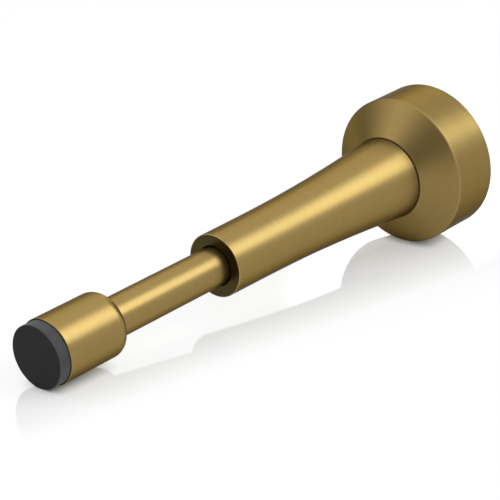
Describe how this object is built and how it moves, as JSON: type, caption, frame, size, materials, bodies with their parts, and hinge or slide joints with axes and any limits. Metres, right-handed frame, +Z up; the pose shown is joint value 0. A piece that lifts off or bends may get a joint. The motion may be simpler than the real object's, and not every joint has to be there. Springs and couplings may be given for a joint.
{
  "type": "spring door stop",
  "caption": "Wall door stop with a round rose, a flared barrel and a sprung plunger rod whose head carries a rubber bumper.",
  "frame": {"origin": "centre of the base's back face, on the wall", "axes": "+Y into the wall along the stop's own axis, so the stop stands out along -Y; +Z up"},
  "size_m": [0.026, 0.0953, 0.026],
  "materials": {
    "satin_brass": "satin, fine turned grain, lacquered",
    "plated_steel": "zinc plated",
    "spring_steel": "drawn wire",
    "black_rubber": "matt, smooth moulded"
  },
  "bodies": {
    "housing": {"base": "satin_brass", "barrel": "satin_brass", "end_plug": "plated_steel", "spring": "spring_steel"},
    "plunger": {"plunger_rod": "satin_brass", "head": "satin_brass", "bumper": "black_rubber"}
  },
  "joints": [
    {"name": "plunger_slide", "type": "slide", "parent": "housing", "child": "plunger", "axis": [0, 1, 0], "range_m": [0, 0.014], "stiffness_N_per_m": 986, "springref_m": -0.006, "deforming": ["spring"]}
  ]
}
